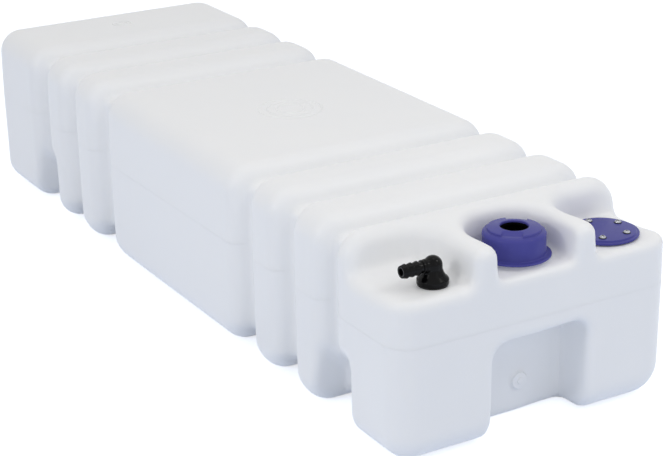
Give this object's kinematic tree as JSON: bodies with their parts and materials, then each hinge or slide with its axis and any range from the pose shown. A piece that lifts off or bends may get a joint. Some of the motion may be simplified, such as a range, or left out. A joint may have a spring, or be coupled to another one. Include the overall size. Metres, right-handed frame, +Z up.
{
  "type": "water tank",
  "caption": "Long ribbed fresh water tank for a camper or boat, lying flat, with a filler collar, a hose elbow and an inspection cover at one end.",
  "frame": {"origin": "centre of the bottom of the tank's bounding box, on the floor it lies on", "axes": "+Z up, -Y towards the end with the fittings, +X to the right seen from that end"},
  "size_m": [0.4434, 1.37, 0.284],
  "materials": {
    "polyethylene": "satin, slightly see-through natural white",
    "blue_plastic": "smooth moulded violet blue",
    "black_plastic": "glossy moulded black",
    "rubber": "dull black",
    "white_plastic": "matt white",
    "stainless_steel": "bright steel"
  },
  "bodies": {
    "tank": {"tank_shell": "polyethylene", "elbow_outer_washer": "rubber", "elbow_inner_washer": "rubber", "elbow_backnut": "black_plastic", "cover_gasket": "rubber", "cover_backing_ring": "stainless_steel"},
    "sleeve": {"filler_hose_sleeve": "rubber", "filler_seal": "rubber"},
    "collar": {"filler_collar": "blue_plastic"},
    "elbow": {"hose_elbow": "black_plastic", "suction_tube": "white_plastic", "suction_strainer": "white_plastic"},
    "cover": {"inspection_cover": "blue_plastic", "cover_screw_1": "stainless_steel", "cover_screw_2": "stainless_steel", "cover_screw_3": "stainless_steel", "cover_screw_4": "stainless_steel", "cover_screw_5": "stainless_steel", "screw_washer_1": "rubber", "screw_washer_2": "rubber", "screw_washer_3": "rubber", "screw_washer_4": "rubber", "screw_washer_5": "rubber"}
  },
  "joints": [
    {"name": "collar_turn", "type": "hinge", "parent": "sleeve", "child": "collar", "pos_m": [-0.002, -0.625, 0.25], "axis": [0, 0, 1], "range_deg": [0, 900]},
    {"name": "sleeve_lift", "type": "slide", "parent": "tank", "child": "sleeve", "axis": [0, 0, 1], "range_m": [0, 0.0151]},
    {"name": "elbow_swivel", "type": "hinge", "parent": "tank", "child": "elbow", "pos_m": [-0.142, -0.644, 0.2318], "axis": [0, 0, 1], "range_deg": [-110, 110]},
    {"name": "cover_lift", "type": "slide", "parent": "tank", "child": "cover", "axis": [0, 0, 1], "range_m": [0, 0.06]}
  ],
  "couplings": [
    {"joint": "sleeve_lift", "follows": "collar_turn", "m_per_rad": 0.00095493}
  ]
}
